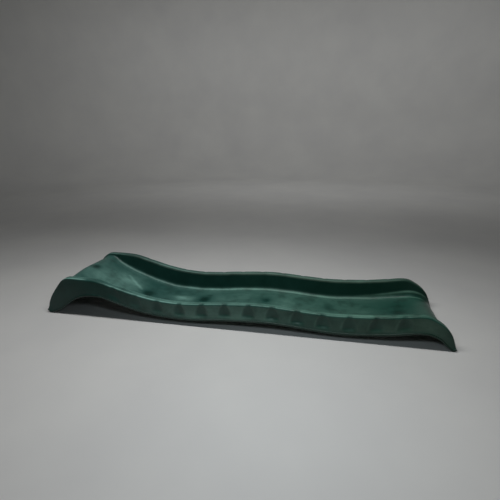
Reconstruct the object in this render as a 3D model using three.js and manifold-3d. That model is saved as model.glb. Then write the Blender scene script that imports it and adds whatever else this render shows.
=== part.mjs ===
import * as THREE from 'three';
import { mergeVertices } from 'three/addons/utils/BufferGeometryUtils.js';
import Module from 'manifold-3d';

// Wave slide lying on its underside: +X runs from the deck end to the exit end, +Y to the left
// of a child sliding down, +Z up. The origin is at the middle of its footprint, on the ground.
// All sizes are in millimetres.

// Driving dimensions
const LENGTH = 2364;
const BED_THICKNESS = 18;
const LONGEST_STEP = 34;
const END_STEP = 16;

// Half widths across the slide, from the centre line outwards
const BED_EDGE = 174;
const WALL_FOOT = 200;
const RIM_INNER = 213;
const RIM_OUTER = 251;
const WALL_OUTER = 261;
const LIP_OUTER = 264;
const SKIRT_INNER = 220;

// Flutes in the outer face of each wall, scoops that widen quickly below a notch in the rim. The
// deepest line of each is upright.
const FLUTE_COUNT = 13;
const FLUTE_FIRST = 477;
const FLUTE_PITCH = 136;
const FLUTE_INNER = 243;
const FLUTE_TOP_RADIUS = 9;
const FLUTE_FOOT_RADIUS = 42;
const FLUTE_ABOVE_RIM = 2;
const FLUTE_ABOVE_LIP = 6;
const FLUTE_SIDES = 24;
const FLUTE_RINGS = 5;

// Rounding at the foot of the inner wall, at the rim's edges and along the bottom lip
const FILLET_RADIUS = 28;
const FILLET_SWEEP = 78;
const RIM_ROUND = 5;
const LIP_HEIGHT = 12;

// Radius of the round toe in which each end turns under to the ground
const ENTRY_TOE = { wall: 21, bed: 14 };
const EXIT_TOE = { wall: 11, bed: 4 };

// Side view of the wave, as [x from the deck end, height] points
const RIM_LINE = [
  [0, 24], [14, 66], [40, 114], [78, 164], [116, 208], [142, 230], [170, 240], [205, 241],
  [290, 240], [374, 232], [493, 199], [608, 167], [722, 144], [851, 133], [972, 136],
  [1148, 151], [1371, 162], [1583, 148], [1738, 139], [1838, 141], [1984, 150], [2125, 168],
  [2185, 176], [2222, 173], [2260, 155], [2300, 128], [2333, 91], [2354, 45], [2364, 14],
];
const BED_LINE = [
  [0, 17], [14, 57], [40, 103], [78, 151], [116, 192], [142, 213], [170, 222], [205, 216],
  [245, 195], [290, 167], [340, 140], [400, 113], [480, 83], [560, 56], [660, 31], [760, 20],
  [880, 17], [980, 20], [1080, 30], [1250, 46], [1370, 49], [1480, 43], [1590, 33],
  [1690, 26], [1770, 25], [1910, 35], [2010, 43], [2090, 55], [2180, 72], [2240, 79],
  [2290, 73], [2325, 55], [2350, 26], [2364, 6],
];
const LIP_LINE = [
  [34, 0], [100, 29], [181, 87], [241, 119], [303, 133], [386, 133], [475, 106], [593, 71],
  [709, 48], [824, 38], [964, 36], [1144, 51], [1370, 60], [1480, 57], [1587, 48],
  [1744, 36], [1846, 37], [1945, 45], [2043, 55], [2138, 72], [2185, 79], [2233, 77],
  [2284, 54], [2311, 28], [2331, 10], [2345, 0],
];

// How much higher the bed is at its centre line than at its edges
const CAMBER_LINE = [[0, 0], [40, 3], [116, 8], [170, 9], [250, 7], [340, 3], [440, 0]];
const BED_COLUMNS = [-1, -0.6, -0.2, 0.2, 0.6, 1];

// Stretches of the moulding, each from the end of the one before it to its own end. Along the
// fluted walls they meet midway between two flutes.
const afterFlute = (number) => FLUTE_FIRST + (number - 0.5) * FLUTE_PITCH;
const STRETCHES = [
  { name: 'deck_flange', end: 128, step: END_STEP },
  { name: 'entry_crown', end: 272 },
  { name: 'first_drop', end: afterFlute(0) },
  { name: 'first_slope', end: afterFlute(2) },
  { name: 'first_dip', end: afterFlute(4) },
  { name: 'middle_rise', end: afterFlute(6) },
  { name: 'middle_crest', end: afterFlute(8) },
  { name: 'middle_fall', end: afterFlute(9) },
  { name: 'second_dip', end: afterFlute(11) },
  { name: 'exit_rise', end: afterFlute(12) },
  { name: 'exit_crest', end: 2230 },
  { name: 'exit_nose', end: 2318, step: END_STEP },
  { name: 'exit_foot', end: LENGTH, step: END_STEP },
];

// A smooth curve through the points of a side line, and its height at any x
function waveLine(points) {
  const corners = points.map(([x, z]) => new THREE.Vector3(x, 0, z));
  return new THREE.CatmullRomCurve3(corners, false, 'centripetal');
}

function heightAt(line, x) {
  const [first, last] = [line.points[0], line.points[line.points.length - 1]];
  if (x <= first.x) return first.z;
  if (x >= last.x) return last.z;
  let [low, high] = [0, 1];
  for (let i = 0; i < 40; i += 1) {
    const middle = (low + high) / 2;
    if (line.getPoint(middle).x < x) low = middle;
    else high = middle;
  }
  return line.getPoint(low).z;
}

const rimLine = waveLine(RIM_LINE);
const bedLine = waveLine(BED_LINE);
const lipLine = waveLine(LIP_LINE);
const camberLine = waveLine(CAMBER_LINE);

// Height of the underside in a round toe, at a distance from its end
function toeHeight(distance, radius) {
  if (distance >= radius) return 0;
  return radius - Math.sqrt(radius ** 2 - (radius - distance) ** 2);
}

// Heights at one station. The bed keeps its thickness square to its slope.
function levels(x) {
  const bed = heightAt(bedLine, x);
  const reach = 2;
  const rise = heightAt(bedLine, x + reach) - heightAt(bedLine, x - reach);
  const run = Math.min(x + reach, LENGTH) - Math.max(x - reach, 0);
  const thickness = BED_THICKNESS * Math.hypot(1, rise / run);
  const toe = x < LENGTH / 2 ? ENTRY_TOE : EXIT_TOE;
  const distance = Math.min(x, LENGTH - x);
  return {
    bed,
    camber: heightAt(camberLine, x),
    rim: heightAt(rimLine, x),
    lip: Math.max(heightAt(lipLine, x), toeHeight(distance, toe.wall)),
    sole: Math.max(0, bed - thickness, toeHeight(distance, toe.bed)),
  };
}

// A section is two chains of [y, z] points of equal length, the upper and the lower skin
function bedSection(x) {
  const { bed, camber, sole } = levels(x);
  const skin = (z) => BED_COLUMNS.map((part) => [part * BED_EDGE, z + camber * (1 - part ** 2)]);
  return { upper: skin(bed), lower: skin(sole) };
}

function wallSection(x) {
  const { bed, rim, lip, sole } = levels(x);
  const round = Math.min(RIM_ROUND, 0.3 * (rim - bed));
  const radius = Math.min(FILLET_RADIUS, 0.75 * (rim - bed));
  const lipTop = lip + Math.min(LIP_HEIGHT, 0.4 * (rim - lip));
  const rimMiddle = (RIM_INNER + RIM_OUTER) / 2;
  const sweep = THREE.MathUtils.degToRad(FILLET_SWEEP);
  const fillet = [1, 2, 3].map((step) => {
    const angle = (step / 3) * sweep;
    const out = Math.sin(angle) / Math.sin(sweep);
    return [BED_EDGE + (WALL_FOOT - BED_EDGE) * out, bed + radius * (1 - Math.cos(angle))];
  });
  const gusset = (WALL_FOOT + SKIRT_INNER) / 2;
  return {
    upper: [
      [BED_EDGE, bed],
      ...fillet,
      [RIM_INNER, rim - round],
      [RIM_INNER + round, rim],
      [rimMiddle, rim],
      [RIM_OUTER - round, rim],
      [RIM_OUTER, rim - round],
      [WALL_OUTER, lipTop],
      [LIP_OUTER, lipTop - 1],
    ],
    lower: [
      [BED_EDGE, sole],
      [BED_EDGE + 12, sole],
      [WALL_FOOT - 8, sole],
      [gusset, (sole + lip) / 2],
      [SKIRT_INNER, lip],
      [SKIRT_INNER + 5, lip],
      [rimMiddle, lip],
      [RIM_OUTER - 8, lip],
      [RIM_OUTER, lip],
      [WALL_OUTER, lip],
      [LIP_OUTER, lip],
    ],
  };
}

// Stations of a stretch, no further apart than its step
function stationsOf(start, end, step) {
  const count = Math.ceil((end - start) / step);
  return Array.from({ length: count + 1 }, (_, i) => start + ((end - start) * i) / count);
}

// Closed solid through the sections at the stations, with side +1 for left and -1 for right
function loft(stations, sectionAt, side) {
  const positions = [];
  const faces = [];
  const sections = stations.map(sectionAt);
  const chain = sections[0].upper.length;
  const ring = 2 * chain;
  sections.forEach(({ upper, lower }, i) => {
    [...upper, ...[...lower].reverse()].forEach(([y, z]) => {
      positions.push(stations[i] - LENGTH / 2, side * y, z);
    });
  });
  const quad = (a, b, c, d) => {
    if (side > 0) faces.push(a, b, c, a, c, d);
    else faces.push(a, c, b, a, d, c);
  };
  for (let i = 0; i + 1 < stations.length; i += 1) {
    for (let j = 0; j < ring; j += 1) {
      const next = (j + 1) % ring;
      quad(i * ring + j, (i + 1) * ring + j, (i + 1) * ring + next, i * ring + next);
    }
  }
  const lastRing = (stations.length - 1) * ring;
  for (let j = 0; j + 1 < chain; j += 1) {
    const [a, b, c, d] = [j, j + 1, ring - 2 - j, ring - 1 - j];
    quad(a, b, c, d);
    quad(lastRing + a, lastRing + d, lastRing + c, lastRing + b);
  }
  const geometry = new THREE.BufferGeometry();
  geometry.setAttribute('position', new THREE.Float32BufferAttribute(positions, 3));
  geometry.setIndex(faces);
  geometry.computeVertexNormals();
  return geometry;
}

// Joins and cuts of closed solids
const wasm = await Module();
wasm.setup();

function toManifold(geometry) {
  const bare = geometry.clone();
  bare.deleteAttribute('normal');
  bare.deleteAttribute('uv');
  const merged = mergeVertices(bare);
  return new wasm.Manifold(new wasm.Mesh({
    numProp: 3,
    vertProperties: new Float32Array(merged.attributes.position.array),
    triVerts: new Uint32Array(merged.index.array),
  }));
}

function fromManifold(solid) {
  const { vertProperties, triVerts } = solid.getMesh();
  const geometry = new THREE.BufferGeometry();
  geometry.setAttribute('position', new THREE.BufferAttribute(vertProperties, 3));
  geometry.setIndex(new THREE.BufferAttribute(triVerts, 1));
  geometry.computeVertexNormals();
  return geometry;
}

// One flute's cutter: a bullet that stands point up, with its inner side upright. Its top
// follows the rim and its foot follows the lip.
function fluteCutter(x, side) {
  const cutter = new THREE.CylinderGeometry(1, 1, 1, FLUTE_SIDES, FLUTE_RINGS);
  cutter.rotateX(Math.PI / 2);
  const points = cutter.attributes.position;
  for (let i = 0; i < points.count; i += 1) {
    const down = 0.5 - points.getZ(i);
    const bulge = 1 - (1 - down) ** 3;
    const radius = THREE.MathUtils.lerp(FLUTE_TOP_RADIUS, FLUTE_FOOT_RADIUS, bulge);
    const place = x + radius * points.getX(i);
    const y = side * (FLUTE_INNER + radius) + radius * points.getY(i);
    const top = heightAt(rimLine, place) + FLUTE_ABOVE_RIM;
    const foot = heightAt(lipLine, place) + LIP_HEIGHT + FLUTE_ABOVE_LIP;
    points.setXYZ(i, place - LENGTH / 2, y, THREE.MathUtils.lerp(top, foot, down));
  }
  return toManifold(cutter);
}

function cutFlutes(geometry, from, to, side) {
  let solid = toManifold(geometry);
  for (let i = 0; i < FLUTE_COUNT; i += 1) {
    const x = FLUTE_FIRST + i * FLUTE_PITCH;
    if (x > from && x < to) solid = solid.subtract(fluteCutter(x, side));
  }
  return fromManifold(solid);
}

function addSolid(group, name, geometry, colour) {
  const material = new THREE.MeshStandardMaterial({ color: colour, roughness: 0.5, metalness: 0 });
  const mesh = new THREE.Mesh(geometry, material);
  mesh.name = name;
  group.add(mesh);
}

const BED_COLOUR = 0x4f8272;
const WALL_COLOUR = 0x35594f;

const slide = new THREE.Group();
let start = 0;
for (const { name, end, step = LONGEST_STEP } of STRETCHES) {
  const stations = stationsOf(start, end, step);
  addSolid(slide, `bed_${name}`, loft(stations, bedSection, 1), BED_COLOUR);
  for (const [wall, side] of [['left_wall', 1], ['right_wall', -1]]) {
    const geometry = cutFlutes(loft(stations, wallSection, side), start, end, side);
    addSolid(slide, `${wall}_${name}`, geometry, WALL_COLOUR);
  }
  start = end;
}

export default slide;
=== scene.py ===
import math

import bpy
import numpy as np
from mathutils import Matrix, Vector


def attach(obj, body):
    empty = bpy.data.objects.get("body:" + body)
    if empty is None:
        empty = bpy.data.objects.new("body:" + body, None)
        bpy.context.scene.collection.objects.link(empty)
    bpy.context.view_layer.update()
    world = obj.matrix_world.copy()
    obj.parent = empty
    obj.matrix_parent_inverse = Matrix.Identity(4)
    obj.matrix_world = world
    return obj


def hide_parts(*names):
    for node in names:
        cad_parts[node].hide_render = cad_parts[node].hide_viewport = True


# Worn green wave slide on a pale floor. The frame gives the heights of its wave at each station;
# this script lofts the real moulded surface through them: round fillets, rims, flutes, lips and
# toes, with the sink marks and the slight waviness of moulded plastic. Lengths are in metres.
# Tables along the slide have rows of the distance from the deck end and the values there.

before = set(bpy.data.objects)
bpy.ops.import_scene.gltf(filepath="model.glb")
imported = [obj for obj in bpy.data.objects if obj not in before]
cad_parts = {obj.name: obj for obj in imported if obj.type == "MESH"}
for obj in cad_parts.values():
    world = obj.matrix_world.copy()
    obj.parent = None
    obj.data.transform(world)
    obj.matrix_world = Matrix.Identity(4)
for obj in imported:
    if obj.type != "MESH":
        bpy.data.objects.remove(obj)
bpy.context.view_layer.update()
BODY = "root"

# Half widths across the slide, from the centre line outwards
BED_EDGE = 0.174
WALL_FOOT = 0.200
RIM_INNER = 0.213
RIM_OUTER = 0.251
WALL_OUTER = 0.261
LIP_OUTER = 0.264
# Half widths of the underside, where its skirt meets the sole and where the lip ends
SKIRT_FOOT = 0.190
SKIRT_INNER = 0.224

# How the heights are read from the CAD vertices: the digits that tell the stations apart, how near
# a vertex is to its station or to the bed's edge, and how much of the bed's camber the middle
# vertices have
STATION_DIGITS = 4
STATION_MATCH = 1e-4
EDGE_MATCH = 0.001
CAMBER_SHARE = 0.96
# How far the round of each toe stays below the top edge there
TOE_BELOW_EDGE = 0.002

# Fillet at the foot of the inner face, which grows towards the exit. It starts beside a narrow
# flat strip, and takes at most a share of the wall's height.
FILLET_RADIUS = 0.028
FILLET_AT_EXIT = 0.053
FILLET_SWEEP = math.radians(78)
FILLET_STEPS = 10
FILLET_SHARE = 0.75
FLAT_STRIP = 0.0008
EXIT_ZONE = [[1.90, 0], [2.20, 1]]
# Where a wall is this low its fillet runs out nearly to the rim, and where it is this tall it
# stands on its foot
LOW_WALL = 0.022
TALL_WALL = 0.072
LOW_WALL_FOOT = 0.211

# Rounding of the rim and of the lip, at most a share of their height. The flat of the rim is
# slightly sunk and starts a little inside its rounded edges, which end some degrees early because
# the faces lean. The lip is at most a share of the outer face's height, its upper edge turns
# through some degrees, and the face ends just above it.
RIM_ROUND = 0.0085
RIM_SINK = 0.0006
RIM_FLAT_INSET = 1.6 * RIM_ROUND
FACE_LEAN = 6
LIP_HEIGHT = 0.012
LIP_SHARE = 0.4
LIP_ROUND = 0.0022
LIP_TURN = 85
LIP_STEPS = 4
BEAD_RISE = 0.001
ROUND_SHARE = 0.3

# Flutes in the outer face of both walls: half width and depth at the top and at the foot, how
# quickly they widen, how round they are, and where the flank with a painted highlight on the deck
# side is in half widths
FLUTE_COUNT = 13
FLUTE_FIRST = 0.477
FLUTE_PITCH = 0.136
FLUTE_TOP_HALF = 0.010
FLUTE_FOOT_HALF = 0.044
FLUTE_TOP_DEPTH = 0.004
FLUTE_FOOT_DEPTH = 0.009
FLUTE_ABOVE_LIP = 0.006
FLUTE_FOOT_ROUND = 0.022
FLUTE_WIDENING = 3
FLUTE_ROUNDNESS = 1.3
FLANK_PLACE = -0.95
FLANK_HALF = 0.16
# How deep the flutes are along the slide
FLUTE_SHARE = [[0, 0.45], [0.65, 0.45], [0.9, 1], [1.85, 1], [2.05, 0.7], [2.364, 0.6]]

# Mesh steps along the slide, across it and up the faces
STEP_ALONG = 0.0026
STEP_AT_ENDS = 0.001
END_ZONE = 0.03
PLACE_DIGITS = 6
BED_COLUMNS = 60
SOLE_COLUMNS = 34
INSIDE_STEPS = 9
OUTSIDE_STEPS = 30
RIM_STEPS = 5
LIP_COLUMNS = 5
SKIRT_STEPS = 8
SHARP_ANGLE = math.radians(50)
LEAST_DROP = 0.01

# Waviness of the moulded skin: long waves in all directions, and the height of each
WAVE_SEED = 11
WAVE_COUNT = 16
WAVE_LENGTHS = (0.15, 0.45)
WAVINESS = 0.00035

# Sink marks on the bed above the places where its two skins are pressed together, as
# [distance from the deck end, distance from the centre line, depth, reach of the clean plastic
# around it], on both sides where they are off the centre line
SINK_RADIUS = 0.032
SINK_MARKS = [
    [0.199, 0.000, 0.0025, 0.03],
    [0.559, 0.000, 0.0028, 0.085],
    [0.934, 0.048, 0.0028, 0.070],
    [1.348, 0.042, 0.0022, 0.055],
    [1.736, 0.058, 0.0014, 0.050],
    [2.124, 0.000, 0.0028, 0.120],
    [0.727, 0.113, 0.0010, 0.02],
    [1.144, 0.081, 0.0007, 0.01],
    [1.557, 0.050, 0.0007, 0.01],
    [1.950, 0.080, 0.0006, 0.01],
]
# A mark of full depth is clean inside and half clean around it, and the deeper green in it is
# painted shade of the dip. Marks get shallower close to the bed's edge.
FULL_SINK = 0.0028
SINK_FADE_AT_EDGE = 0.03
CLEAN_IN_MARK = 0.9
CLEAN_AROUND_MARK = 0.5
# Dimples underneath, pressed up below the marks, with a flat middle
PRESS_RADIUS = 0.022
PRESS_DEPTH = 0.010
PRESS_STEEPNESS = 1.25

# How pale the rim's rounded edges are worn, with a painted highlight along them, from the wall's
# face to the top
EDGE_WEAR_AND_HIGHLIGHT = [0.04, 0.08, 0.20, 0.50, 0.70, 0.45, 0.18]
# Along the slide: wear and painted highlight of these edges, wear of the rim's flat, wear of the
# outer face and dust on the outer face
FACE_WEAR = [
    [0.00, 1.20, 0.24, 0.00, 0.02],
    [0.26, 1.40, 0.24, 0.00, 0.01],
    [0.31, 0.15, 0.12, 0.00, 0.00],
    [0.38, 0.15, 0.12, 0.00, 0.00],
    [0.46, 1.10, 0.16, 0.00, 0.02],
    [0.55, 1.50, 0.26, 0.03, 0.07],
    [0.72, 1.50, 0.30, 0.10, 0.15],
    [0.83, 1.40, 0.40, 0.20, 0.20],
    [0.95, 0.90, 0.36, 0.26, 0.20],
    [1.16, 0.65, 0.35, 0.24, 0.20],
    [1.35, 0.70, 0.31, 0.18, 0.18],
    [1.60, 0.80, 0.36, 0.02, 0.07],
    [1.80, 0.55, 0.33, 0.03, 0.13],
    [1.95, 0.60, 0.50, 0.02, 0.14],
    [2.05, 0.35, 0.30, 0.02, 0.16],
    [2.20, 0.30, 0.20, 0.07, 0.21],
    [2.30, 0.35, 0.14, 0.08, 0.18],
    [2.364, 0.15, 0.06, 0.01, 0.05],
]
# What is left of the outer face's wear and dust at its top, in a flute and beside the lip. The
# darker face there is painted shade under the rim, in the flutes and above the lip, and in the
# flutes also less wear.
WEAR_LEFT_OUT_OF_SHADE = {"top": 0.4, "flute": 0.2, "lip": 0.3}
DUST_LEFT_OUT_OF_SHADE = {"top": 0.7, "flute": 0.4, "lip": 0.4}
# Share of the dust and wear on the lip, which is painted darker as shade, how deep a flute is
# darkest, how high the darker band of painted shade above the lip is, and how much of the rim's
# wear and painted highlight is gone in a notch
DUST_ON_LIP = 0.25
WEAR_ON_LIP = 0.2
SHADED_FLUTE_DEPTH = 0.005
SHADED_LIP_BAND = 0.014
NOTCH_BREAK = 0.7
# How pale the flutes' flanks on the deck side are painted as a highlight
FLANK_HIGHLIGHT = [[0.8, 0], [1.4, 0.10]]

# How pale the fillet is worn all over and beside the bed, and the pale highlight lines painted on
# it, given as [degrees up the fillet, width in degrees]. One painted highlight line runs along most
# of the slide. In the exit zone it parts into an upper and a lower line.
STRIP_WEAR = 0.16
FILLET_BASE_WEAR = 0.02
FILLET_LOW_WEAR = 0.14
FILLET_HIGHLIGHT_LINES = [[0.55, 0.42], [0.95, 0.68], [1.55, 0.70], [1.9, 0.42]]
ONE_LINE = [38, 16]
UPPER_LINE = [68, 7]
LOWER_LINE = [6, 9]
UPPER_LINE_SHARE = 1.2
LOWER_LINE_SHARE = [[2.15, 0.5], [2.27, 1.5]]
# How far up the fillet its low wear and its faded green reach, in degrees, on a low wall and on a
# tall one
LOW_WEAR_REACH = [52, 22]
FADE_REACH = [65, 45]

# How faded the green of the inner and outer faces is; the deep green of the inner faces is partly
# painted shade inside the channel
INSIDE_FADE_AND_SHADE = [[1.5, 0.20], [2.0, 0.06]]
OUTSIDE_FADE = [[0, 0.38], [0.4, 0.28], [0.7, 0.34], [0.95, 0.53], [1.9, 0.34], [2.15, 0.45]]
# The left rim gets a share of the right one's wear. A pale painted sheen covers it instead, most of
# all over the inner part of its width, and its green is deeper towards both ends.
LEFT_RIM_WEAR = 0.5
LEFT_RIM_SHEEN = [
    [0.20, 0.02],
    [0.45, 0.30],
    [1.7, 0.38],
    [2.05, 0.20],
    [2.15, 0.08],
    [2.364, 0.02],
]
LEFT_RIM_SHEEN_WIDTH = 1.3
LEFT_RIM_FADE = [[0.15, 0.35], [0.45, 1.0], [1.9, 1.0], [2.1, 0.45], [2.364, 0.25]]
RIM_PARTS = ["inner_edge", "rim_top", "outer_edge"]

# How pale the bed is worn along its length, and where it is paler or darker in patches, one of
# which is a painted highlight, as [distance from the deck end, place across, reach along, reach
# across, strength]
BED_WEAR = [
    [0, 0.13],
    [0.4, 0.15],
    [1.2, 0.16],
    [1.5, 0.22],
    [1.85, 0.16],
    [2.1, 0.06],
    [2.364, 0.055],
]
PALE_PATCHES = [
    [0.29, -0.03, 0.12, 0.09, 0.17],
    [0.41, 0.03, 0.09, 0.10, 0.30],
    [0.80, 0.036, 0.060, 0.028, 0.55],
    [0.77, 0.050, 0.035, 0.012, 0.25],
    [1.10, 0.04, 0.13, 0.10, 0.10],
    [1.50, 0.03, 0.12, 0.08, 0.07],
    [1.88, 0.03, 0.12, 0.08, 0.06],
    [2.28, 0.06, 0.05, 0.09, 0.10],
    [1.93, -0.145, 0.10, 0.045, 0.13],
    [0.31, -0.130, 0.07, 0.060, 0.16],
    [0.30, 0.140, 0.07, 0.045, -0.08],
    [0.55, 0.135, 0.10, 0.050, -0.09],
]
# One long pale streak: its two ends, its half width and its strength
STREAK_START = [0.375, 0.104]
STREAK_END = [0.506, 0.014]
STREAK_HALF = 0.009
STREAK_PALENESS = 0.38
# How faded the bed's green is, and how much of this goes in a sink mark as painted shade of the dip
BED_FADE = 1.08
SHADE_PAINTED_IN_MARK = 0.95


def between(start, end, share):
    return start + (end - start) * share


def ease(share):
    """A share from 0 to 1 with a soft start and a soft end."""
    return share * share * (3 - 2 * share)


def bell(distance, radius):
    return np.exp(-((distance / radius) ** 2))


def smooth_least(a, b):
    """The smaller of two sizes, without a kink where they change places."""
    return a * b / (a**3 + b**3) ** (1 / 3)


def node_points(prefix):
    """All vertices of the CAD nodes whose names start with prefix."""
    found = []
    for name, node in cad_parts.items():
        if name.startswith(prefix):
            points = np.zeros(len(node.data.vertices) * 3, np.float32)
            node.data.vertices.foreach_get("co", points)
            found.append(points.reshape(-1, 3))
    return np.concatenate(found)


def smooth_heights(heights, at):
    """A smooth curve through the heights at the stations, read at the given places."""
    slopes = np.gradient(heights, stations)
    i = np.clip(np.searchsorted(stations, at, side="right") - 1, 0, len(stations) - 2)
    width = stations[i + 1] - stations[i]
    t = np.clip((at - stations[i]) / width, 0, 1)
    start = (1 + 2 * t) * (1 - t) ** 2 * heights[i] + t * (1 - t) ** 2 * width * slopes[i]
    end = t**2 * (3 - 2 * t) * heights[i + 1] + t**2 * (t - 1) * width * slopes[i + 1]
    return start + end


def places_along(length):
    """Places along the slide, closer together in both toes."""
    half = length / 2
    middle = np.linspace(END_ZONE - half, half - END_ZONE, round(length / STEP_ALONG))
    toe = np.arange(0, END_ZONE, STEP_AT_ENDS)
    return np.unique(np.round(np.concatenate([toe - half, middle, half - toe]), PLACE_DIGITS))


bed_points = node_points("bed_")
wall_points = node_points("left_wall_")
stations = np.unique(np.round(bed_points[:, 0], STATION_DIGITS))
LENGTH = float(stations[-1] - stations[0])
along = places_along(LENGTH)
from_deck = along + LENGTH / 2
to_end = np.minimum(from_deck, LENGTH - from_deck)


def heights_along(points, pick):
    """Heights at all places along, from the one that pick chooses at each station."""
    chosen = [pick(points[abs(points[:, 0] - x) < STATION_MATCH]) for x in stations]
    return smooth_heights(np.array(chosen), along)


def edge_heights(points):
    return points[abs(points[:, 1]) > BED_EDGE - EDGE_MATCH, 2]


bed = heights_along(bed_points, lambda points: edge_heights(points).max())
middle = heights_along(bed_points, lambda points: points[:, 2].max())
camber = (middle - bed) / CAMBER_SHARE
rim = heights_along(wall_points, lambda points: points[:, 2].max())
lip = heights_along(wall_points, lambda points: points[points[:, 1] > WALL_OUTER, 2].min())
sole = heights_along(bed_points, lambda points: edge_heights(points).min())


def toe_heights(top):
    """Underside of the round toe at each end, just under the top edge there."""
    radius = np.where(from_deck < LENGTH / 2, top[0], top[-1]) - TOE_BELOW_EDGE
    reach = np.clip(radius - to_end, 0, radius)
    return np.where(to_end < radius, radius - np.sqrt(radius**2 - reach**2), 0)


lip = np.maximum(np.maximum(lip, 0), toe_heights(rim))
sole = np.maximum(np.maximum(sole, 0), toe_heights(bed))


def along_slide(table):
    """Values at all places along, from a table of [distance from the deck end, value]."""
    return np.interp(from_deck, *np.transpose(table))


rng = np.random.default_rng(WAVE_SEED)
WAVES = [
    [rng.uniform(*WAVE_LENGTHS), rng.uniform(0, math.pi), rng.uniform(0, 2 * math.pi)]
    for _ in range(WAVE_COUNT)
]


def waviness(x, y):
    """Height of the skin's waviness at a place: a millimetre on average, up to nearly three."""
    height = 0
    for wavelength, heading, phase in WAVES:
        distance = x * math.cos(heading) + y * math.sin(heading)
        height = height + np.sin(2 * math.pi * distance / wavelength + phase)
    return WAVINESS * height


def arc(centre_y, centre_z, radius_y, radius_z, start, end, steps):
    """Points of a quarter turn or so in a section, for all places along at once."""
    chain = []
    for angle in np.radians(np.linspace(start, end, steps)):
        y = centre_y + radius_y * math.cos(angle)
        z = centre_z + radius_z * math.sin(angle)
        chain.append((y + 0 * z, z))
    return chain


def line(start, end, steps):
    """Points of a straight stretch in a section, without its two end points."""
    chain = []
    for t in np.linspace(0, 1, steps + 2)[1:-1]:
        chain.append(tuple(between(a, b, t) for a, b in zip(start, end)))
    return chain


def level(y, z):
    """A point of a section at the same half width all along."""
    return (y + 0 * z, z)


def flutes(z):
    """How far the flutes scoop into the outer skin at heights z, and where their flank on the deck
    side gets a painted highlight.

    A flute is a bullet standing point up: a notch at the rim that widens quickly and then runs
    straight down to its rounded foot above the lip."""
    foot = lip + LIP_HEIGHT + FLUTE_ABOVE_LIP
    down = np.clip((rim - z) / (rim - foot), 0, 1)
    bulge = 1 - (1 - down) ** FLUTE_WIDENING
    half = between(FLUTE_TOP_HALF, FLUTE_FOOT_HALF, bulge)
    rise = np.clip((z - foot) / FLUTE_FOOT_ROUND, 0, 1)
    deep = between(FLUTE_TOP_DEPTH, FLUTE_FOOT_DEPTH, bulge) * ease(rise) * along_slide(FLUTE_SHARE)
    scoop = 0 * z
    flank_highlight = 0 * z
    for i in range(FLUTE_COUNT):
        across = (from_deck - (FLUTE_FIRST + i * FLUTE_PITCH)) / half
        scoop = scoop + deep * np.maximum(1 - across**2, 0) ** FLUTE_ROUNDNESS
        flank_highlight = flank_highlight + bell(across - FLANK_PLACE, FLANK_HALF) * bulge * rise
    return scoop, flank_highlight


def fillet_looks(turned, tall):
    """How pale the fillet is worn and painted with highlight lines, and how faded its green is, so
    many degrees up from the bed.
    """
    at_exit = along_slide(EXIT_ZONE)
    one, upper, lower = [
        bell(turned - place, width) for place, width in (ONE_LINE, UPPER_LINE, LOWER_LINE)
    ]
    two = UPPER_LINE_SHARE * upper + along_slide(LOWER_LINE_SHARE) * lower
    # Painted highlight lines along the fillet
    highlight_lines = along_slide(FILLET_HIGHLIGHT_LINES) * between(one, two, at_exit) * tall
    low_wear = FILLET_LOW_WEAR * bell(turned, between(*LOW_WEAR_REACH, tall)) * (1 - at_exit)
    faded = between(along_slide(INSIDE_FADE_AND_SHADE), 1, bell(turned, between(*FADE_REACH, tall)))
    return FILLET_BASE_WEAR + highlight_lines + low_wear, faded


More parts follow.
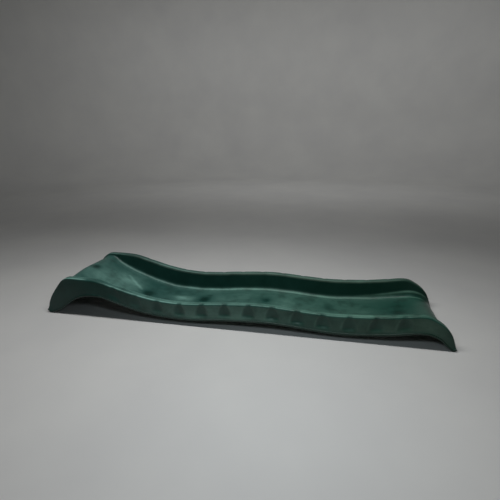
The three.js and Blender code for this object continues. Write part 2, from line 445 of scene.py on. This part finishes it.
def wall_section():
    """Ring of section points of the left wall, for all places along, with each point's part, how
    pale it is from wear and painted highlight, and how faded its green is."""
    drop = rim - bed
    fillet_size = between(FILLET_RADIUS, FILLET_AT_EXIT, along_slide(EXIT_ZONE))
    fillet = smooth_least(fillet_size, FILLET_SHARE * drop)
    rim_round = smooth_least(RIM_ROUND, ROUND_SHARE * drop)
    tall = ease(np.clip((drop - LOW_WALL) / (TALL_WALL - LOW_WALL), 0, 1))
    foot = between(LOW_WALL_FOOT, WALL_FOOT, tall)
    lip_top = lip + np.minimum(LIP_HEIGHT, LIP_SHARE * (rim - lip))
    lip_round = np.minimum(LIP_ROUND, ROUND_SHARE * (lip_top - lip))
    strip = BED_EDGE + FLAT_STRIP
    ring = []
    parts = []
    wear_and_highlight = []
    fade = []

    def add(part, chain, wear_and_highlight_values, faded):
        """Adds points to the ring, with one value of wear and painted highlight for all of them or
        a list with one for each.
        """
        ring.extend(chain)
        parts.extend([part] * len(chain))
        wear_and_highlight_values = wear_and_highlight_values if isinstance(wear_and_highlight_values, list) else [wear_and_highlight_values] * len(chain)
        wear_and_highlight.extend(value + 0 * along for value in wear_and_highlight_values)
        fade.extend([faded + 0 * along] * len(chain))

    add("inside", [level(BED_EDGE, bed), level(strip, bed)], STRIP_WEAR, 1)
    for angle in np.linspace(0, FILLET_SWEEP, FILLET_STEPS + 1)[1:]:
        y = between(strip, foot, math.sin(angle) / math.sin(FILLET_SWEEP))
        z = bed + fillet * (1 - math.cos(angle))
        add("inside", [level(y, z)], *fillet_looks(math.degrees(angle), tall))
    edge_z = rim - rim_round
    turns = len(EDGE_WEAR_AND_HIGHLIGHT)
    inner_y, outer_y = RIM_INNER + RIM_ROUND, RIM_OUTER - RIM_ROUND
    inner_edge = arc(inner_y, edge_z, RIM_ROUND, rim_round, 180 - FACE_LEAN, 90, turns)
    # The inner face stays deep green, partly as painted shade
    add("inside", line(ring[-1], inner_edge[0], INSIDE_STEPS), 0, along_slide(INSIDE_FADE_AND_SHADE))
    add("inner_edge", inner_edge, EDGE_WEAR_AND_HIGHLIGHT, 1)
    rim_left = level(RIM_INNER + RIM_FLAT_INSET, rim - RIM_SINK)
    rim_right = level(RIM_OUTER - RIM_FLAT_INSET, rim - RIM_SINK)
    add("rim_top", [rim_left, *line(rim_left, rim_right, RIM_STEPS), rim_right], 1, 1)
    outer_edge = arc(outer_y, edge_z, RIM_ROUND, rim_round, 90, FACE_LEAN, turns)
    add("outer_edge", outer_edge, EDGE_WEAR_AND_HIGHLIGHT[::-1], 1)
    bead = level(WALL_OUTER, lip_top + BEAD_RISE)
    face = [*line(outer_edge[-1], bead, OUTSIDE_STEPS), bead]
    add("outside", face, 1, along_slide(OUTSIDE_FADE))
    lip_y = LIP_OUTER - LIP_ROUND
    upper_turn = arc(lip_y, lip_top - lip_round, LIP_ROUND, lip_round, LIP_TURN, 0, LIP_STEPS)
    add("lip", upper_turn, WEAR_ON_LIP, 0)
    add("lip", arc(lip_y, lip + lip_round, LIP_ROUND, lip_round, 0, -90, LIP_STEPS), 0, 0)
    lip_end = level(SKIRT_INNER, lip)
    add("under", [*line(level(lip_y, lip), lip_end, LIP_COLUMNS), lip_end], 0, 0)
    for t in np.linspace(0, 1, SKIRT_STEPS + 1)[1:]:
        skirt = level(between(SKIRT_INNER, SKIRT_FOOT, t), between(lip, sole, ease(t)))
        add("under", [skirt], 0, 0)
    add("under", [level(strip, sole), level(BED_EDGE, sole)], 0, 0)
    return ring, np.array(parts), np.transpose(wear_and_highlight), np.transpose(fade)


def bed_section():
    """The two chains of section points of the bed: its top from right to left, and its underside
    from left to right."""

    def chain(edge, start, columns):
        across = np.linspace(start, -start, columns + 1)
        return [level(y, edge + camber * (1 - (y / BED_EDGE) ** 2)) for y in across]

    return chain(bed, -BED_EDGE, BED_COLUMNS), chain(sole, BED_EDGE, SOLE_COLUMNS)


def places(side):
    """A mark off the centre line has a twin on the other side."""
    return (side, -side) if side else (0,)


def dips(x, y):
    """Depth of the sink marks at a place, how clean the plastic is in and around them, and how much
    painted shade deepens their green."""
    depth = 0 * x
    clean = 0 * x
    dip_shade = 0 * x
    for place, side, deep, reach in SINK_MARKS:
        for centre in places(side):
            off = np.hypot(x - place, y - centre)
            mark = bell(off, SINK_RADIUS)
            share = min(1, deep / FULL_SINK)
            depth = depth + deep * mark
            clean = clean + share * (CLEAN_IN_MARK * mark + CLEAN_AROUND_MARK * bell(off, reach))
            dip_shade = dip_shade + share * mark
    return depth, np.clip(clean, 0, 1), np.clip(dip_shade, 0, 1)


def paleness(x, y):
    """What the pale patches, one of them a painted highlight, and the long pale streak add to the
    bed's wear at a place.
    """
    pale = 0 * x
    for place, across, reach_x, reach_y, strength in PALE_PATCHES:
        # One of these patches is a painted highlight
        pale = pale + strength * bell(np.hypot((x - place) / reach_x, (y - across) / reach_y), 1)
    start = np.array(STREAK_START)
    run = np.array(STREAK_END) - start
    t = np.clip(((x - start[0]) * run[0] + (y - start[1]) * run[1]) / (run @ run), 0, 1)
    off = np.hypot(x - start[0] - t * run[0], y - start[1] - t * run[1])
    return pale + STREAK_PALENESS * bell(off, STREAK_HALF)


def presses(x, y):
    """Height of the round dimples pressed into the underside below the sink marks."""
    height = 0 * x
    for place, side, *_ in SINK_MARKS:
        for centre in places(side):
            off = np.hypot(x - place, y - centre) / PRESS_RADIUS
            height = np.maximum(height, np.clip(PRESS_STEEPNESS * (1 - off), 0, 1))
    return PRESS_DEPTH * ease(height)


def link_mesh(name, vertices, faces):
    """New object of smooth faces in the scene."""
    mesh = bpy.data.meshes.new(name)
    mesh.from_pydata(vertices, [], faces)
    mesh.polygons.foreach_set("use_smooth", [True] * len(mesh.polygons))
    made = bpy.data.objects.new(name, mesh)
    bpy.context.scene.collection.objects.link(made)
    return made


def loft(name, rows, masks, flip):
    """Closed mesh through rings of points: rows is [place][ring point][x, y, z]."""
    count, ring, _ = rows.shape
    faces = []
    for i in range(count - 1):
        for j in range(ring):
            k = (j + 1) % ring
            faces.append([i * ring + j, (i + 1) * ring + j, (i + 1) * ring + k, i * ring + k])
    faces.append(list(range(ring)))
    faces.append([(count - 1) * ring + j for j in reversed(range(ring))])
    if flip:
        faces = [face[::-1] for face in faces]
    piece = link_mesh(name, rows.reshape(-1, 3).tolist(), faces)
    piece.data.set_sharp_from_angle(angle=SHARP_ANGLE)
    for mask, values in masks.items():
        layer = piece.data.attributes.new(mask, "FLOAT", "POINT")
        layer.data.foreach_set("value", values.astype(np.float32).reshape(-1))
    piece.data.update()
    return piece


def spread(ring):
    """[place][ring point] arrays of x, y and z from a ring of (y, z) points."""
    y, z = [
        np.stack([np.broadcast_to(point[axis], along.shape) for point in ring], axis=1)
        for axis in (0, 1)
    ]
    return np.broadcast_to(along[:, None], y.shape), y, z


def build_bed():
    """The bed, with its sink marks, pale patches and streak, and dimples."""
    top, under = bed_section()
    x, y, z = spread(top + under)
    place = x + LENGTH / 2
    upper = np.arange(len(top + under)) < len(top)
    depth, clean, dip_shade = dips(place, y)
    fade = np.clip((BED_EDGE - abs(y)) / SINK_FADE_AT_EDGE, 0, 1)
    z = np.where(upper, z + waviness(x, y) - depth * fade, z + presses(place, y))
    wear_and_highlight = along_slide(BED_WEAR)[:, None] + paleness(place, y)
    masks = {
        "wear_and_highlight": np.where(upper, np.maximum(wear_and_highlight, 0) * (1 - clean), 0),
        "dust_and_sheen": 0 * z,
        # The sink marks lose faded green here: painted shade of the dip
        "fade": np.where(upper, BED_FADE - SHADE_PAINTED_IN_MARK * dip_shade, 0),
    }
    piece = loft("chute_bed", np.stack([x, y, z], axis=2), masks, flip=False)
    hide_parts(*[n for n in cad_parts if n.startswith("bed_")])
    return piece


def left_out_of_shade(shares, low, inside, above_lip):
    """Share of the outer face's wear or dust that is left at a point outside the painted shade,
    from shares of how low on the face, how deep inside a flute and how far above the lip it is."""
    top = between(shares["top"], 1, low)
    flute = between(1, shares["flute"], inside)
    return top * flute * between(shares["lip"], 1, above_lip)


def build_wall(name, prefix, side):
    """The left wall, or for side -1 its mirror image with a rim that is worn in another way and has
    no painted sheen. The flutes notch the rim's outer edge and scoop into the outer face, which is
    painted darker inside them as shade and is less worn there."""
    ring, parts, wear_and_highlight, faded = wall_section()
    x, y, z = spread(ring)
    dust_and_sheen = 0 * z
    distances, *columns = np.transpose(FACE_WEAR)
    edge_wear_and_highlight, flat, face, dusty = [np.interp(from_deck, distances, column) for column in columns]
    if side > 0:
        edge_wear_and_highlight, flat = edge_wear_and_highlight * LEFT_RIM_WEAR, flat * LEFT_RIM_WEAR
        on_rim = np.isin(parts, RIM_PARTS)
        faded = np.where(on_rim, along_slide(LEFT_RIM_FADE)[:, None], faded)
        inwards = (RIM_OUTER - y) / (RIM_OUTER - RIM_INNER)
        inwards = np.clip(LEFT_RIM_SHEEN_WIDTH * inwards, 0, 1) ** 2
        # Painted sheen over the left rim, carried by the dust mask
        dust_and_sheen = np.where(on_rim, inwards * along_slide(LEFT_RIM_SHEEN)[:, None], 0)
    notch = flutes(rim - RIM_ROUND)[0]
    rim_middle = (RIM_INNER + RIM_OUTER) / 2
    for j, part in enumerate(parts):
        # The rounded edges' wear also paints their highlight
        if part in ("inner_edge", "outer_edge"):
            wear_and_highlight[:, j] *= edge_wear_and_highlight
        if part == "rim_top":
            wear_and_highlight[:, j] *= flat
        if part in ("outer_edge", "rim_top"):
            share = np.clip((y[:, j] - rim_middle) / (RIM_OUTER - RIM_ROUND - rim_middle), 0, 1)
            y[:, j] -= notch * share
            wear_and_highlight[:, j] *= 1 - NOTCH_BREAK * np.clip(notch * share / FLUTE_TOP_DEPTH, 0, 1)
        if part in ("outside", "lip"):
            scoop, flank_highlight = flutes(z[:, j])
            y[:, j] -= scoop
            # Less wear and dust in the flutes, under the rim and above the lip: painted shade there
            inside = np.clip(scoop / SHADED_FLUTE_DEPTH, 0, 1)
            low = np.clip((rim - z[:, j]) / (rim - lip), 0, 1)
            above_lip = np.clip((z[:, j] - lip - LIP_HEIGHT) / SHADED_LIP_BAND, 0, 1)
            wear_and_highlight[:, j] *= face * left_out_of_shade(WEAR_LEFT_OUT_OF_SHADE, low, inside, above_lip)
            # Painted highlight on the flutes' flanks on the deck side
            wear_and_highlight[:, j] += flank_highlight * along_slide(FLANK_HIGHLIGHT)
            dust_and_sheen[:, j] = dusty * left_out_of_shade(DUST_LEFT_OUT_OF_SHADE, low, inside, above_lip)
        if part == "lip":
            dust_and_sheen[:, j] *= DUST_ON_LIP
    up_to_rim = (rim[:, None] - z) / np.maximum(rim - bed, LEAST_DROP)[:, None]
    wavy = np.where(parts == "inside", np.clip(up_to_rim, 0, 1), 0)
    z = z + waviness(x, side * y) * wavy
    masks = {"wear_and_highlight": wear_and_highlight, "dust_and_sheen": dust_and_sheen, "fade": faded}
    piece = loft(name, np.stack([x, side * y, z], axis=2), masks, flip=side < 0)
    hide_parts(*[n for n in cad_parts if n.startswith(prefix)])
    return piece


chute_bed = build_bed()
side_walls = [
    build_wall("left_side_wall", "left_wall_", 1),
    build_wall("right_side_wall", "right_wall_", -1),
]
for piece in (chute_bed, *side_walls):
    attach(piece, BODY)


class Shader:
    """Short calls for building a material's nodes."""

    def __init__(self, name):
        self.material = bpy.data.materials.new(name)
        self.material.use_nodes = True
        self.tree = self.material.node_tree
        self.plastic = self.tree.nodes["Principled BSDF"]
        place = self.tree.nodes.new("ShaderNodeTexCoord")
        self.place = place.outputs["Object"]

    def put(self, socket, value):
        """Links another node's output to a socket, or sets the socket's own value."""
        if isinstance(value, bpy.types.NodeSocket):
            self.tree.links.new(value, socket)
        else:
            socket.default_value = value

    def node(self, kind, values, **settings):
        made = self.tree.nodes.new(kind)
        for key, value in settings.items():
            setattr(made, key, value)
        for key, value in values.items():
            self.put(made.inputs[key], value)
        return made

    def noise(self, scale, detail, roughness, fineness=None):
        """Fractal noise, this many times finer across the slide than along it."""
        place = self.place
        if fineness:
            values = {"Vector": place, "Scale": (1.0, fineness, fineness)}
            place = self.node("ShaderNodeMapping", values).outputs["Vector"]
        values = {"Vector": place, "Scale": scale, "Detail": detail, "Roughness": roughness}
        return self.node("ShaderNodeTexNoise", values).outputs["Fac"]

    def span(self, value, low, high, to_low=0.0, to_high=1.0):
        """A value read between low and high."""
        values = {
            "Value": value,
            "From Min": low,
            "From Max": high,
            "To Min": to_low,
            "To Max": to_high,
        }
        return self.node("ShaderNodeMapRange", values).outputs["Result"]

    def times(self, a, b, clamp=False):
        settings = {"operation": "MULTIPLY", "use_clamp": clamp}
        return self.node("ShaderNodeMath", {0: a, 1: b}, **settings).outputs[0]

    def plus(self, a, b):
        return self.node("ShaderNodeMath", {0: a, 1: b}, operation="ADD").outputs[0]

    def mix(self, amount, a, b, blend="MIX"):
        made = self.tree.nodes.new("ShaderNodeMix")
        made.data_type = "RGBA"
        made.blend_type = blend
        for key, value in {"Factor": amount, "A": a, "B": b}.items():
            self.put([s for s in made.inputs if s.name == key and s.enabled][0], value)
        return [s for s in made.outputs if s.enabled][0]

    def mask(self, name):
        made = self.tree.nodes.new("ShaderNodeAttribute")
        made.attribute_name = name
        return made.outputs["Fac"]

    def finish(self, **sockets):
        for key, value in sockets.items():
            self.put(self.plastic.inputs[key.replace("_", " ")], value)
        return self.material


# Colours of the plastic: deep and faded green, worn chalky, which also paints highlights, scratched
# pale, and covered in dust, which also paints a sheen. The green is a little warmer towards the
# exit.
DEEP_GREEN = (0.005, 0.028, 0.021, 1)
FADED_GREEN = (0.009, 0.060, 0.050, 1)
MOTTLED_GREEN = (0.013, 0.070, 0.058, 1)
CHALKY_AND_HIGHLIGHT_GREEN = (0.210, 0.420, 0.360, 1)
PALE_SCRATCH = (0.380, 0.520, 0.470, 1)
DUST_AND_SHEEN_COLOUR = (0.170, 0.205, 0.170, 1)
EXIT_TINT = (0.97, 1.0, 0.87, 1)
EXIT_TINT_SPAN = (-0.5, 1.0)
# Its noises, as scale, detail, roughness and fineness across the slide
BROAD = (3.2, 3, 0.55)
PATCHY = (11, 6, 0.6)
STREAKY = (7, 8, 0.65, 6.0)
SCRATCHY = (9, 9, 0.75, 22.0)
GRAINY = (260, 3, 0.6)
# How the noises are read: low and high value, and what they become where this isn't 0 and 1
MOTTLING = (0.33, 0.67, 0.35, 1.65)
MOTTLED_AREAS = (0.35, 0.65)
CLOUDINESS = (0.3, 0.7, 0.55, 1.45)
STREAKINESS = (0.3, 0.7, 0.8, 1.2)
SCRATCH_LINES = (0.60, 0.72)
SCRATCHED_AREAS = (0.45, 0.65)
BARE_ROUGHNESS = (0.3, 0.7, 0.28, 0.38)
# How pale the scratches in worn places are, how much rougher wear and dust make the plastic, and
# its fine bumps
SCRATCH_WEAR = 0.7
FILM_ROUGHNESS = 0.35
GRAIN_BUMP = 0.25
SCRATCH_BUMP = 0.5
BUMP_STRENGTH = 0.35
BUMP_DISTANCE = 0.0006
PLASTIC_IOR = 1.45
BED_GLOSS = 0.5
WALL_GLOSS = 0.36


def worn_plastic(name, gloss):
    """Material of worn, dusty green plastic. The masks for wear, dust and fade are on the meshes;
    the wear mask also carries painted highlights, the dust mask a painted sheen and the fade mask
    painted shade.
    """
    s = Shader(name)
    broad = s.noise(*BROAD)
    patchy = s.noise(*PATCHY)
    streaks = s.noise(*STREAKY)
    scratches = s.noise(*SCRATCHY)
    grain = s.noise(*GRAINY)

    # The fade mask's deep green also paints shade in the sink marks and inside the channel
    fade = s.times(s.mask("fade"), s.span(patchy, *MOTTLING), clamp=True)
    faded = s.mix(s.span(broad, *MOTTLED_AREAS), FADED_GREEN, MOTTLED_GREEN)
    colour = s.mix(fade, DEEP_GREEN, faded)

    uneven = s.times(s.span(patchy, *CLOUDINESS), s.span(streaks, *STREAKINESS))
    # Dust colour, which on the left rim paints its sheen
    dust_and_sheen = s.times(s.mask("dust_and_sheen"), uneven, clamp=True)
    colour = s.mix(dust_and_sheen, colour, DUST_AND_SHEEN_COLOUR)
    # Chalky colour of wear, which also paints highlights on rim edges, fillet lines, flute flanks
    # and one bed patch
    wear_and_highlight = s.times(s.mask("wear_and_highlight"), uneven, clamp=True)
    colour = s.mix(wear_and_highlight, colour, CHALKY_AND_HIGHLIGHT_GREEN)

    scratched = s.times(s.span(scratches, *SCRATCH_LINES), s.span(patchy, *SCRATCHED_AREAS))
    scratched = s.times(scratched, s.times(wear_and_highlight, SCRATCH_WEAR))
    colour = s.mix(scratched, colour, PALE_SCRATCH)
    lengthwise = s.node("ShaderNodeSeparateXYZ", {"Vector": s.place}).outputs["X"]
    colour = s.mix(s.span(lengthwise, *EXIT_TINT_SPAN), colour, EXIT_TINT, "MULTIPLY")

    film = s.times(s.plus(wear_and_highlight, dust_and_sheen), FILM_ROUGHNESS)
    roughness = s.plus(s.span(patchy, *BARE_ROUGHNESS), film)
    bumps = s.plus(s.times(grain, GRAIN_BUMP), s.times(scratches, SCRATCH_BUMP))
    values = {"Strength": BUMP_STRENGTH, "Distance": BUMP_DISTANCE, "Height": bumps}
    bump = s.node("ShaderNodeBump", values)
    return s.finish(
        Base_Color=colour,
        Roughness=roughness,
        Normal=bump.outputs["Normal"],
        IOR=PLASTIC_IOR,
        Specular_IOR_Level=gloss,
    )


chute_bed.data.materials.append(worn_plastic("bed_plastic", BED_GLOSS))
wall_material = worn_plastic("wall_plastic", WALL_GLOSS)
for piece in side_walls:
    piece.data.materials.append(wall_material)


# Studio: a pale floor that curves up into a round wall well away from the slide
FLOOR_RADIUS = 6.5
CURVE_RADIUS = 1.5
CURVE_STEPS = 12
STUDIO_HEIGHT = 6.5
STUDIO_SIDES = 96
FLOOR_COLOURS = [(0.66, 0.66, 0.65, 1), (0.72, 0.72, 0.70, 1)]
FLOOR_NOISE = (1.3, 4, 0.55)
FLOOR_MOTTLING = (0.3, 0.7)
FLOOR_ROUGHNESS = 0.6


def build_studio():
    profile = [
        (FLOOR_RADIUS + CURVE_RADIUS * math.sin(bend), CURVE_RADIUS * (1 - math.cos(bend)))
        for bend in np.radians(np.linspace(0, 90, CURVE_STEPS + 1))
    ]
    profile.append((FLOOR_RADIUS + CURVE_RADIUS, STUDIO_HEIGHT))
    turns = np.linspace(0, 2 * math.pi, STUDIO_SIDES, endpoint=False)
    vertices = [(r * math.cos(turn), r * math.sin(turn), z) for r, z in profile for turn in turns]
    faces = [list(range(STUDIO_SIDES))]
    for i in range(len(profile) - 1):
        for j in range(STUDIO_SIDES):
            k = (j + 1) % STUDIO_SIDES
            low = i * STUDIO_SIDES
            high = low + STUDIO_SIDES
            faces.append([low + k, low + j, high + j, high + k])
    studio = link_mesh("studio", vertices, faces)
    s = Shader("pale_floor")
    colour = s.mix(s.span(s.noise(*FLOOR_NOISE), *FLOOR_MOTTLING), *FLOOR_COLOURS)
    studio.data.materials.append(s.finish(Base_Color=colour, Roughness=FLOOR_ROUGHNESS))


build_studio()

# Soft light: a long lamp overhead, a small one in front, lamps turned outwards to the studio's
# wall on all four sides, and a dim surround. Each lamp is given by its name, place, target, size,
# power and colour.
WHITE = (1.0, 1.0, 1.0)
LAMPS = [
    ["ceiling_lamp", (-0.1, -0.28, 2.3), (-0.1, -0.28, 0.0), (2.8, 0.3), 36, WHITE],
    ["front_lamp", (0.35, -1.15, 1.03), (0.25, -0.26, 0.1), (0.3, 0.2), 2.1, (0.86, 1.0, 1.08)],
]
# Bearing and power of each outward lamp
OUTWARD_LAMPS = [(90, 64), (0, 14), (180, 14), (270, 5)]
OUTWARD_RADIUS = 3.6
OUTWARD_HEIGHT = 3.6
OUTWARD_TARGET_RADIUS = 8
OUTWARD_TARGET_HEIGHT = 1.2
OUTWARD_SIZE = (6.0, 0.8)
SURROUND_COLOUR = (0.95, 0.98, 1.0, 1)
SURROUND_STRENGTH = 0.003


def area_light(name, place, target, size, power, colour):
    data = bpy.data.lights.new(name, "AREA")
    data.shape = "RECTANGLE"
    data.size, data.size_y = size
    data.energy = power
    data.color = colour
    lamp = bpy.data.objects.new(name, data)
    lamp.location = place
    lamp.rotation_euler = (Vector(target) - Vector(place)).to_track_quat("-Z", "Y").to_euler()
    lamp.visible_camera = False
    bpy.context.scene.collection.objects.link(lamp)


for lamp in LAMPS:
    area_light(*lamp)
for bearing, power in OUTWARD_LAMPS:
    east, north = math.cos(math.radians(bearing)), math.sin(math.radians(bearing))
    place = (OUTWARD_RADIUS * east, OUTWARD_RADIUS * north, OUTWARD_HEIGHT)
    target = (OUTWARD_TARGET_RADIUS * east, OUTWARD_TARGET_RADIUS * north, OUTWARD_TARGET_HEIGHT)
    area_light(f"outward_lamp_{bearing}", place, target, OUTWARD_SIZE, power, WHITE)

world = bpy.data.worlds.new("surround")
world.use_nodes = True
background = world.node_tree.nodes["Background"].inputs
background["Color"].default_value = SURROUND_COLOUR
background["Strength"].default_value = SURROUND_STRENGTH
bpy.context.scene.world = world
bpy.context.scene.view_settings.view_transform = "Standard"

# Camera at the photograph's place: pinhole with the photograph's pitch, heading and roll
FOCAL_PIXELS = 343.9
FRAME_PIXELS = 500
CAMERA_PLACE = (0.4711, -1.9074, 1.0540)
PITCH_DOWN = math.radians(18.67)
HEADING_LEFT = math.radians(11.72)
ROLL = math.radians(-0.84)
SENSOR = 36.0
FARTHEST = 100


def build_camera():
    forward = Vector(
        (
            -math.sin(HEADING_LEFT) * math.cos(PITCH_DOWN),
            math.cos(HEADING_LEFT) * math.cos(PITCH_DOWN),
            -math.sin(PITCH_DOWN),
        )
    )
    level_right = Vector((math.cos(HEADING_LEFT), math.sin(HEADING_LEFT), 0))
    level_up = level_right.cross(forward)
    right = math.cos(ROLL) * level_right + math.sin(ROLL) * level_up
    up = math.cos(ROLL) * level_up - math.sin(ROLL) * level_right
    data = bpy.data.cameras.new("camera")
    data.sensor_width = SENSOR
    data.lens = FOCAL_PIXELS / FRAME_PIXELS * SENSOR
    data.clip_end = FARTHEST
    camera = bpy.data.objects.new("camera", data)
    turn = Matrix((right, up, -forward)).transposed()
    camera.matrix_world = Matrix.Translation(CAMERA_PLACE) @ turn.to_4x4()
    bpy.context.scene.collection.objects.link(camera)
    bpy.context.scene.camera = camera


build_camera()
